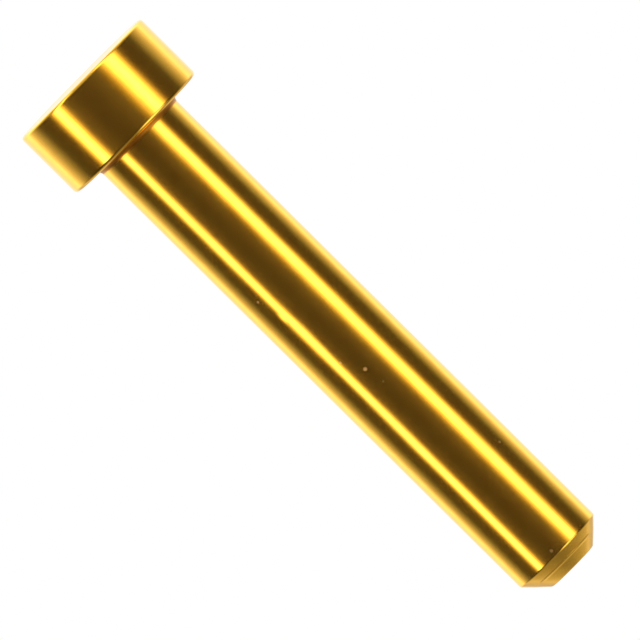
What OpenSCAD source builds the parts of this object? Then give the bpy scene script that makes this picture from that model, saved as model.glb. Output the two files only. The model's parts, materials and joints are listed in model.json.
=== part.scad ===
// Headed contact pin: one piece of brass turned on a lathe and plated with gold.
// A thick round head carries the flat contact face, and its back is the shoulder
// that seats on the board. The plain shank ends in a lead-in of two cones and a
// small flat end. The pin stands on its contact face with its axis along +Z.

/* [Head] */
// Diameter of the head
head_d = 1.66; // [1.5:0.01:2.4]
// Thickness of the head, from the contact face to the shoulder
head_t = 0.77; // [0.3:0.01:1.5]
// Radius on the rim round the contact face
face_rim_r = 0.035; // [0.01:0.005:0.06]
// Radius on the rim round the shoulder
shoulder_rim_r = 0.045; // [0.01:0.005:0.06]

/* [Shank] */
// Diameter of the shank
shank_d = 1.02; // [0.8:0.01:1.2]
// Length under the head, from the shoulder to the flat end
shank_len = 6.03; // [3:0.01:12]
// Radius of the fillet where the shank meets the shoulder
root_r = 0.05; // [0.01:0.005:0.08]

/* [Lead-in] */
// Radial width of the first cone, next to the shank
lead_w = 0.1; // [0.06:0.005:0.16]
// Angle of the first cone to the pin's axis
lead_angle = 44.5; // [30:0.5:46]
// Radial width of the second cone, next to the flat end
nose_w = 0.125; // [0.06:0.005:0.16]
// Angle of the second cone to the pin's axis
nose_angle = 47; // [46.5:0.5:60]
// Radius on the edge between the shank and the first cone
edge_r = 0.03; // [0.01:0.005:0.05]
// Radius round the flat end
end_r = 0.03; // [0.01:0.005:0.05]

/* [Hidden] */

head_r = head_d / 2;
shank_r = shank_d / 2;
pin_len = head_t + shank_len;

// The lead-in is set back from the flat end, so the length under the head stays true.
nose_r = shank_r - lead_w;
flat_r = nose_r - nose_w;
nose_z = pin_len - nose_w / tan(nose_angle);
lead_z = nose_z - lead_w / tan(lead_angle);

// Directions in the half section: x is out from the axis, y is along the pin.
inward = [-1, 0];
outward = [1, 0];
to_head = [0, -1];
to_tip = [0, 1];
down_lead = [-sin(lead_angle), cos(lead_angle)];
up_nose = [sin(nose_angle), -cos(nose_angle)];

// Segments of the turned surface and of the edge arcs
turn_fn = 128;
arc_fn = 64;

// The sliver between a sharp corner and the arc that rounds it. Both directions are
// unit vectors that leave the corner along its two edges.
module corner_sliver(corner, along_a, along_b, r) {
    half_angle = acos(along_a * along_b) / 2;
    bisector = (along_a + along_b) / norm(along_a + along_b);
    centre = corner + bisector * r / sin(half_angle);
    reach = r / tan(half_angle);
    difference() {
        polygon([corner, corner + along_a * reach, centre, corner + along_b * reach]);
        translate(centre) circle(r = r, $fn = arc_fn);
    }
}

// The sharp half section, from the contact face up to the flat end
module sharp_section() {
    polygon([
        [0, 0],
        [head_r, 0],
        [head_r, head_t],
        [shank_r, head_t],
        [shank_r, lead_z],
        [nose_r, nose_z],
        [flat_r, pin_len],
        [0, pin_len]
    ]);
}

// The half section as turned and tumbled: its outer edges lose their corners, and
// the tool's nose leaves a fillet where the shank meets the shoulder.
module turned_section() {
    difference() {
        sharp_section();
        corner_sliver([head_r, 0], inward, to_tip, face_rim_r);
        corner_sliver([head_r, head_t], inward, to_head, shoulder_rim_r);
        corner_sliver([shank_r, lead_z], to_head, down_lead, edge_r);
        corner_sliver([flat_r, pin_len], inward, up_nose, end_r);
    }
    corner_sliver([shank_r, head_t], outward, to_tip, root_r);
}

module contact_pin() {
    color("gold") rotate_extrude($fn = turn_fn) turned_section();
}

contact_pin();
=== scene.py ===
import json
import math

import bmesh
import bpy
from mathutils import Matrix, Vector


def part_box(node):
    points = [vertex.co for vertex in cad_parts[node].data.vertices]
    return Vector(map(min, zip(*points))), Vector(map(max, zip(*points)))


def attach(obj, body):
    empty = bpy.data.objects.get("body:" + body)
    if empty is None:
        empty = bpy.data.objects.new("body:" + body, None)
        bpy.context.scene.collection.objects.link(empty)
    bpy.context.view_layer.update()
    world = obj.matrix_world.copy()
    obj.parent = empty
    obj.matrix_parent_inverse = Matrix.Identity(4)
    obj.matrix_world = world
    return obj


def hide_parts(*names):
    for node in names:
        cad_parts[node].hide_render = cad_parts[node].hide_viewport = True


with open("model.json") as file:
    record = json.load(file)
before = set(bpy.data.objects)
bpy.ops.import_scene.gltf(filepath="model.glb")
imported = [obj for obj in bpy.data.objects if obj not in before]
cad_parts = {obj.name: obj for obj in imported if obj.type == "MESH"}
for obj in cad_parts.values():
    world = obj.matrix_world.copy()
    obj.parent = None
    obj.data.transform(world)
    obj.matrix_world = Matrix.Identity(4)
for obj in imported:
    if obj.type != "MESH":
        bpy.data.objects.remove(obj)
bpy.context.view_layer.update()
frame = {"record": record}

# ---------------------------------------------------------------- camera
# A long lens, square to the pin's axis and a little below the contact face, so that
# the round face just shows. It is rolled until the lead-in end points down and right.
view_mm = 6.277
camera_away = 0.25
below_deg = 2.2
roll_deg = 134.74
aim_height = 0.003336
aim_aside = 0.000029

bpy.ops.object.select_all(action="DESELECT")
bpy.ops.object.camera_add()
camera = bpy.context.object
camera.name = "long_lens"
camera.data.sensor_width = 36
camera.data.lens = camera.data.sensor_width * camera_away * 1000 / view_mm
camera.rotation_euler = (math.radians(90 + below_deg), 0, 0)
camera.rotation_euler.rotate_axis("Z", math.radians(roll_deg))
camera.location = (
    aim_aside,
    -camera_away * math.cos(math.radians(below_deg)),
    aim_height - camera_away * math.sin(math.radians(below_deg)),
)
camera.data.clip_start = 0.01
camera.data.clip_end = 1.0
bpy.context.scene.camera = camera

# ---------------------------------------------------------------- the pin
# One piece of brass, turned from bar: a thick round head with a flat contact face, a
# plain shank and a lead-in of two cones. Plating and a tumble leave its edges soft.
# Sizes are in metres and angles in radians, here and below, where a name says nothing else.
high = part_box("contact_pin")[1]
mounts = {mount["name"]: mount for mount in frame["record"]["mounts"]}
head_radius = high.x
pin_length = high.z
head_thick = mounts["shoulder"]["pos_m"][2]
shank_radius = mounts["shank"]["dims"]["r_mm"] / 1000
lead_width = 0.0001
lead_angle = math.radians(44.5)
nose_width = 0.000125
nose_angle = math.radians(47)
nose_radius = shank_radius - lead_width
flat_radius = nose_radius - nose_width
nose_height = pin_length - nose_width / math.tan(nose_angle)
lead_height = nose_height - lead_width / math.tan(lead_angle)
face_rim_round = 0.000035
shoulder_rim_round = 0.000045
root_round = 0.00005
edge_round = 0.00003
around = 256
steps_in_round = 8
same_place = 2e-6
facing_up = 0.9
sharpest_smoothed = math.radians(30)

bpy.ops.object.select_all(action="DESELECT")
bpy.ops.mesh.primitive_cylinder_add(
    vertices=around, radius=head_radius, depth=head_thick, location=(0, 0, head_thick / 2)
)
pin = bpy.context.object
pin.name = "turned_pin"
bpy.ops.object.transform_apply(location=True, rotation=False, scale=False)

# The top of the head is stepped in to the shank and drawn up, then in to each cone.
bpy.ops.object.mode_set(mode="EDIT")
bpy.ops.mesh.select_all(action="DESELECT")
shape = bmesh.from_edit_mesh(pin.data)
for face in shape.faces:
    face.select_set(face.normal.z > facing_up)
bmesh.update_edit_mesh(pin.data)
bpy.ops.mesh.inset(thickness=head_radius - shank_radius)
heights = [head_thick, lead_height, nose_height, pin_length]
radii = [shank_radius, shank_radius, nose_radius, flat_radius]
for step in range(1, len(heights)):
    climb = heights[step] - heights[step - 1]
    bpy.ops.mesh.extrude_region_move(TRANSFORM_OT_translate={"value": (0, 0, climb)})
    draw_in = radii[step] / radii[step - 1]
    bpy.ops.transform.resize(value=(draw_in, draw_in, 1), center_override=(0, 0, heights[step]))


def round_ring(height, radius, amount, corner):
    """Rounds the ring of edges at that height and radius; corner is its angle in the section."""
    bpy.ops.mesh.select_all(action="DESELECT")
    shape = bmesh.from_edit_mesh(pin.data)
    for edge in shape.edges:
        on_ring = [
            abs(v.co.z - height) < same_place and abs(math.hypot(v.co.x, v.co.y) - radius) < same_place
            for v in edge.verts
        ]
        edge.select_set(all(on_ring))
    bmesh.update_edit_mesh(pin.data)
    reach = amount / math.tan(corner / 2)
    bpy.ops.mesh.bevel(offset_type="OFFSET", offset=reach, segments=steps_in_round, profile=0.5)


square_corner = math.pi / 2
bpy.ops.mesh.select_mode(type="EDGE")
round_ring(0, head_radius, face_rim_round, square_corner)
round_ring(head_thick, head_radius, shoulder_rim_round, square_corner)
round_ring(head_thick, shank_radius, root_round, square_corner)
round_ring(lead_height, shank_radius, edge_round, math.pi - lead_angle)
round_ring(pin_length, flat_radius, edge_round, square_corner + nose_angle)
bpy.ops.object.mode_set(mode="OBJECT")

bpy.ops.object.shade_smooth_by_angle(angle=sharpest_smoothed)
weighted = pin.modifiers.new("turned_normals", "WEIGHTED_NORMAL")
weighted.keep_sharp = True
bpy.ops.object.modifier_apply(modifier=weighted.name)

# ---------------------------------------------------------------- the gold plating
# Gold over turned brass: near a mirror along the pin's girth and softer along its axis, because
# the turning marks run round it. The plating is a little cloudy and the tumble left it wavy.
gold = bpy.data.materials.new("gold_plate")
gold.use_nodes = True
nodes, links = gold.node_tree.nodes, gold.node_tree.links
shader = nodes["Principled BSDF"]
shader.inputs["Metallic"].default_value = 1
shader.inputs["Specular Tint"].default_value = (1, 0.97, 0.85, 1)
shader.inputs["Anisotropic"].default_value = 0.5
shader.inputs["Anisotropic Rotation"].default_value = 0.25
girth = nodes.new("ShaderNodeTangent")
girth.direction_type = "RADIAL"
girth.axis = "Z"
links.new(girth.outputs["Tangent"], shader.inputs["Tangent"])
place = nodes.new("ShaderNodeTexCoord").outputs["Object"]


# Each function below adds nodes to the material whose nodes and links are set when it is called.
def maths(operation, first, second=None):
    """A Math node's result. Each input is a number or another node's output."""
    node = nodes.new("ShaderNodeMath")
    node.operation = operation
    for socket, value in zip(node.inputs, (first, second)):
        if isinstance(value, (int, float)):
            socket.default_value = value
        elif value is not None:
            links.new(value, socket)
    return node.outputs["Value"]


def vectors(operation, first, fixed=None):
    """A Vector Math node's result, from another node's output and, for some, a fixed vector."""
    node = nodes.new("ShaderNodeVectorMath")
    node.operation = operation
    links.new(first, node.inputs[0])
    if fixed is not None:
        node.inputs[1].default_value = fixed
    gives_number = operation in ("DISTANCE", "DOT_PRODUCT", "LENGTH")
    return node.outputs["Value" if gives_number else "Vector"]


def spread(value, from_low, from_high, to_low, to_high):
    """Maps a value smoothly from one range to another, and holds it at the ends."""
    node = nodes.new("ShaderNodeMapRange")
    node.interpolation_type = "SMOOTHSTEP"
    limits = {"From Min": from_low, "From Max": from_high, "To Min": to_low, "To Max": to_high}
    for name, number in limits.items():
        node.inputs[name].default_value = number
    links.new(value, node.inputs["Value"])
    return node.outputs["Result"]


def tinted(under, over, share):
    """Lays a second colour over a first by that share. The first may be another node's output."""
    node = nodes.new("ShaderNodeMix")
    node.data_type = "RGBA"
    if isinstance(under, tuple):
        node.inputs["A"].default_value = under
    else:
        links.new(under, node.inputs["A"])
    node.inputs["B"].default_value = over
    links.new(share, node.inputs["Factor"])
    return node.outputs["Result"]


def cloud(size_round, size_along, seed, detail=2):
    """Soft noise from 0 to 1, with features of that size round the pin and along it."""
    stretch = nodes.new("ShaderNodeMapping")
    stretch.inputs["Location"].default_value = (seed, seed, seed)
    stretch.inputs["Scale"].default_value = (1 / size_round, 1 / size_round, 1 / size_along)
    links.new(place, stretch.inputs["Vector"])
    noise = nodes.new("ShaderNodeTexNoise")
    noise.inputs["Scale"].default_value = 1
    noise.inputs["Detail"].default_value = detail
    links.new(stretch.outputs["Vector"], noise.inputs["Vector"])
    return noise.outputs["Fac"]


def front_point(x, z):
    """The point that far across and along the pin, on the camera's side of the shank."""
    return (x, -math.sqrt(shank_radius**2 - x**2), z)


# Specks of dust and small pits: place across and along the pin, size, and how plain they are.
# Each is full in its middle and fades out towards its size.
specks = (
    (0.000059, 0.003970, 0.000028, 1),
    (0.000020, 0.004178, 0.000018, 0.5),
    (0.000186, 0.003756, 0.000018, 0.5),
    (0.000333, 0.002766, 0.000024, 0.6),
    (-0.000363, 0.005414, 0.000022, 0.6),
    (0.000040, 0.006520, 0.000028, 0.6),
)
middle_share = 0.35
speckled = 0
for x, z, size, plain in specks:
    gap = vectors("DISTANCE", place, front_point(x, z))
    spot = spread(gap, size * middle_share, size, 1, 0)
    speckled = maths("MAXIMUM", maths("MULTIPLY", spot, plain), speckled)

# The colour drifts a little between a deep and a paler gold, and the specks are pale.
deep_gold = (0.93, 0.46, 0.045, 1)
pale_gold = (0.98, 0.57, 0.07, 1)
speck_tone = (0.9, 0.56, 0.22, 1)
drift = cloud(size_round=0.00009, size_along=0.00012, seed=3.1, detail=3)
tone = tinted(tinted(deep_gold, pale_gold, drift), speck_tone, speckled)

# Painted shade: the fillet at the root of the shank, which the head shades and which mirrors the
# shoulder, is painted darker and redder.
painted_root_shade = (0.4, 0.12, 0.008, 1)
root_shade_strength = 0.8
root_band = 0.00006
along = nodes.new("ShaderNodeSeparateXYZ")
links.new(place, along.inputs["Vector"])
height = along.outputs["Z"]
off_root = maths("ABSOLUTE", maths("SUBTRACT", height, head_thick + root_band / 2))
root_shade_share = maths("MULTIPLY", spread(off_root, root_band / 4, root_band / 2, 1, 0), root_shade_strength)
links.new(tinted(tone, painted_root_shade, root_shade_share), shader.inputs["Base Color"])

# The head takes the brightest polish. The shank is a little softer, and its root under the
# head, which the tumble reaches least, softest. Specks are dull.
head_roughness = (0.165, 0.19)
shank_softer = 0.03
root_softer = 0.28
speck_roughness = 0.75
root_core = 0.000035
patch_range = (0.3, 0.7)
patches = cloud(size_round=0.00012, size_along=0.0002, seed=7.7)
roughness = spread(patches, *patch_range, *head_roughness)
softer = spread(height, head_thick + root_core, head_thick + root_band, root_softer, shank_softer)
on_shank = maths("GREATER_THAN", height, head_thick)
roughness = maths("ADD", roughness, maths("MULTIPLY", softer, on_shank))
roughness = maths("MAXIMUM", roughness, maths("MULTIPLY", speckled, speck_roughness))
links.new(roughness, shader.inputs["Roughness"])

# Heights: fine rings from the tool, the slow waves of the tumble, a long dent and a small raised
# mark beside the middle of the shank, and the tool's line between the two cones.
ring_pitch = 0.00002
ring_height = 0.2e-6
wave_height = 1.2e-6
line_half_wide = 0.000017
line_height = 2.4e-6
rings = nodes.new("ShaderNodeTexNoise")
rings.noise_dimensions = "1D"
rings.inputs["Scale"].default_value = 1
rings.inputs["Detail"].default_value = 2
across_squared = maths("POWER", along.outputs["X"], 2)
from_axis = maths("SQRT", maths("ADD", across_squared, maths("POWER", along.outputs["Y"], 2)))
links.new(maths("DIVIDE", maths("SUBTRACT", height, from_axis), ring_pitch), rings.inputs["W"])
waves = cloud(size_round=0.00022, size_along=0.0008, seed=5.3, detail=1)
relief = maths("MULTIPLY", waves, wave_height)
relief = maths("ADD", relief, maths("MULTIPLY", rings.outputs["Fac"], ring_height))

# The dent and the mark: place across and along the pin, half width, half length and depth. The
# mark's depth is less than nothing, because it stands up.
dents = (
    (0.00026, 0.00335, 0.00012, 0.00045, 1.2e-6),
    (0.00031, 0.00305, 0.00007, 0.0001, -1.6e-6),
)
for x, z, half_wide, half_long, depth in dents:
    away = vectors("SUBTRACT", place, front_point(x, z))
    shares = vectors("MULTIPLY", away, (1 / half_wide, 1 / half_wide, 1 / half_long))
    relief = maths("ADD", relief, spread(vectors("LENGTH", shares), 0, 1, -depth, 0))
off_line = maths("ABSOLUTE", maths("SUBTRACT", height, nose_height))
relief = maths("ADD", relief, spread(off_line, 0, line_half_wide, line_height, 0))
bump = nodes.new("ShaderNodeBump")
bump.inputs["Strength"].default_value = 1
bump.inputs["Distance"].default_value = 1
links.new(relief, bump.inputs["Height"])
links.new(bump.outputs["Normal"], shader.inputs["Normal"])
pin.data.materials.clear()
pin.data.materials.append(gold)

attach(pin, "root")
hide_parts("contact_pin")

# ---------------------------------------------------------------- studio
# A round light tent about the pin: dark on the camera's side, pale behind the pin and dimmer
# over its lead-in. Two tall strip lamps in it draw the bright streaks down the gold.
tent_radius = 0.22
straight_behind = (0.01, 0.998, 0.052)
bpy.ops.object.select_all(action="DESELECT")
bpy.ops.mesh.primitive_uv_sphere_add(segments=48, ring_count=24, radius=tent_radius)
tent = bpy.context.object
tent.name = "light_tent"
tent_cloth = bpy.data.materials.new("tent_cloth")
tent_cloth.use_nodes = True
nodes, links = tent_cloth.node_tree.nodes, tent_cloth.node_tree.links
nodes.clear()
outward = vectors("NORMALIZE", nodes.new("ShaderNodeTexCoord").outputs["Object"])
outward_parts = nodes.new("ShaderNodeSeparateXYZ")
links.new(outward, outward_parts.inputs["Vector"])
upward = outward_parts.outputs["Z"]
behind = vectors("DOT_PRODUCT", outward, straight_behind)


def shining(strength, colour=None):
    """The light of an Emission node, white unless it takes another node's colour."""
    node = nodes.new("ShaderNodeEmission")
    links.new(strength, node.inputs["Strength"])
    if colour is not None:
        links.new(colour, node.inputs["Color"])
    return node.outputs["Emission"]


# The cloth's brightness goes by how far round it is, from -1 on the camera's side to 1 straight
# behind the pin, and each level pairs the two. The ramp holds shares of the brightest, and the
# strength makes them whole again.
tent_brightest = 1.75
dark_side = (0.087, 0.075, 0.072)
dark_until = -0.1
levels = (
    (0.1, 0.1),
    (0.2, 0.23),
    (0.3, 0.4),
    (0.4, 0.6),
    (0.54, 1.0),
    (0.66, 1.75),
    (0.87, 1.25),
    (1.0, 1.15),
)
ramp = nodes.new("ShaderNodeValToRGB")
stops = ramp.color_ramp.elements
stops[0].position = (dark_until + 1) / 2
stops[0].color = (*[part / tent_brightest for part in dark_side], 1)
stops[1].position = 1.0
for how_far, level in levels:
    stop = stops.new((how_far + 1) / 2) if how_far < 1 else stops[-1]
    stop.color = (*[level / tent_brightest] * 3, 1)
links.new(maths("DIVIDE", maths("ADD", behind, 1), 2), ramp.inputs["Fac"])
dimmed_band = (0.12, 0.4)
dimmed_share = 0.5
cloth_level = spread(upward, *dimmed_band, tent_brightest, tent_brightest * dimmed_share)
glows = [shining(cloth_level, ramp.outputs["Color"])]

# Each strip lamp is brightest along its middle and fades on both sides, warmer as it fades.
# They end a little above the pin's middle height and run on far below it. The numbers are the
# angle of the middle, how far the light reaches inward and outward, and its level, with angles
# in degrees. The last two strips are only a faint haze beside the lamps.
strips = (
    (-49.5, 35, 26, 3.7),
    (56, 21.5, 18.5, 4.2),
    (-22, 45, 20, 0.05),
    (36, 30, 25, 0.04),
)
fade_powers = (2.5, 2.8, 4)
strip_top = (0.2, 0.45)
strip_foot = (-0.93, -0.985)
strip_end = maths("MULTIPLY", spread(upward, *strip_top, 1, 0), spread(upward, *strip_foot, 1, 0))
frontward = maths("MULTIPLY", outward_parts.outputs["Y"], -1)
turned = maths("ARCTAN2", outward_parts.outputs["X"], frontward)
for middle_deg, inner_deg, outer_deg, level in strips:
    middle, inner, outer = [math.radians(angle) for angle in (middle_deg, inner_deg, outer_deg)]
    hand = math.copysign(1, middle)
    inward_fade = spread(turned, middle - hand * inner, middle, 0, 1)
    outward_fade = spread(turned, middle + hand * outer, middle, 0, 1)
    bell = maths("MULTIPLY", inward_fade, outward_fade)
    warmed = nodes.new("ShaderNodeCombineColor")
    for socket, fade_power in zip(warmed.inputs, fade_powers):
        links.new(maths("MULTIPLY", maths("POWER", bell, fade_power), level), socket)
    glows.append(shining(strip_end, warmed.outputs["Color"]))

# A soft glow straight above and one straight below are what the rims and the lead-in mirror.
# The one above is a little weaker in its middle.
zenith_band = (0.55, 0.9)
zenith_level = 0.24
zenith_middle = (0.94, 1)
zenith_dip = 0.075
nadir_band = (-0.1, -1)
nadir_level = 0.65
zenith_glow = spread(upward, *zenith_band, 0, zenith_level)
zenith_glow = maths("ADD", zenith_glow, spread(upward, *zenith_middle, 0, -zenith_dip))
nadir_glow = spread(upward, *nadir_band, 0, nadir_level)
glows.append(shining(maths("ADD", zenith_glow, nadir_glow)))

# The wider strip's lamp head leans in over the pin, and the shoulder's rim mirrors it.
lean_aside = math.radians(-42)
lean_up = math.radians(47)
lean_wide = math.radians(28)
lean_level = 1.8
leaning = (
    math.sin(lean_aside) * math.cos(lean_up),
    -math.cos(lean_aside) * math.cos(lean_up),
    math.sin(lean_up),
)
to_lamp_head = vectors("DOT_PRODUCT", outward, leaning)
glows.append(shining(spread(to_lamp_head, math.cos(lean_wide), 1, 0, lean_level)))

glow = glows[0]
for extra in glows[1:]:
    both = nodes.new("ShaderNodeAddShader")
    links.new(glow, both.inputs[0])
    links.new(extra, both.inputs[1])
    glow = both.outputs["Shader"]
surface = nodes.new("ShaderNodeOutputMaterial")
links.new(glow, surface.inputs["Surface"])
tent.data.materials.append(tent_cloth)

# Only what mirrors the tent sees it, and it lights nothing else.
tent_cloth.cycles.emission_sampling = "NONE"
for ray in ("visible_camera", "visible_diffuse", "visible_shadow", "visible_transmission"):
    setattr(tent, ray, False)

# A pale round floor, open under the head, so that nothing lies against the contact face. It
# fades out towards its rim, and it is clear from below, where the camera stands.
floor_height = -0.000002
floor_hole = 0.0008
floor_solid = 0.006
floor_end = 0.01
floor_white = 0.93
bpy.ops.object.select_all(action="DESELECT")
bpy.ops.mesh.primitive_circle_add(
    vertices=96, radius=floor_end, fill_type="NGON", location=(0, 0, floor_height)
)
floor = bpy.context.object
floor.name = "pale_floor"
bpy.ops.object.mode_set(mode="EDIT")
bpy.ops.mesh.select_all(action="SELECT")
bpy.ops.mesh.inset(thickness=floor_end - floor_hole)
bpy.ops.mesh.delete(type="FACE")
bpy.ops.object.mode_set(mode="OBJECT")
paper = bpy.data.materials.new("floor_paper")
paper.use_nodes = True
nodes, links = paper.node_tree.nodes, paper.node_tree.links
shader = nodes["Principled BSDF"]
shader.inputs["Base Color"].default_value = (floor_white, floor_white, floor_white, 1)
shader.inputs["Roughness"].default_value = 1
shader.inputs["Specular IOR Level"].default_value = 0
from_centre = vectors("LENGTH", nodes.new("ShaderNodeTexCoord").outputs["Object"])
faded = spread(from_centre, floor_solid, floor_end, 0, 1)
below = nodes.new("ShaderNodeNewGeometry").outputs["Backfacing"]
clear = nodes.new("ShaderNodeBsdfTransparent")
blend = nodes.new("ShaderNodeMixShader")
links.new(maths("MAXIMUM", faded, below), blend.inputs["Fac"])
links.new(shader.outputs["BSDF"], blend.inputs[1])
links.new(clear.outputs["BSDF"], blend.inputs[2])
links.new(blend.outputs["Shader"], nodes["Material Output"].inputs["Surface"])
floor.data.materials.append(paper)
floor.visible_glossy = False
floor.visible_shadow = False

# Two soft lamps light the floor and cast the pin's shadow. Gold mirrors the tent, not them.
lamp_size = 0.05
lamps = (
    ("key_lamp", (-0.06, -0.05, 0.09), 0.05),
    ("fill_lamp", (0.07, 0.03, 0.08), 0.03),
)
for name, stand, power in lamps:
    bpy.ops.object.light_add(type="AREA", location=stand)
    lamp = bpy.context.object
    lamp.name = name
    lamp.data.size = lamp_size
    lamp.data.energy = power
    lamp.rotation_euler = lamp.location.to_track_quat("Z", "Y").to_euler()
    lamp.visible_camera = False
    lamp.visible_glossy = False

# White all round for the camera and for what mirrors it, and a little less as the room's light.
room_light = 0.62
world = bpy.data.worlds.new("studio")
bpy.context.scene.world = world
world.use_nodes = True
nodes, links = world.node_tree.nodes, world.node_tree.links
path = nodes.new("ShaderNodeLightPath")
seen = maths("MAXIMUM", path.outputs["Is Camera Ray"], path.outputs["Is Glossy Ray"])
seen = maths("MAXIMUM", seen, path.outputs["Is Transmission Ray"])
nodes["Background"].inputs["Color"].default_value = (1, 1, 1, 1)
links.new(spread(seen, 0, 1, room_light, 1), nodes["Background"].inputs["Strength"])
bpy.context.scene.view_settings.view_transform = "Standard"
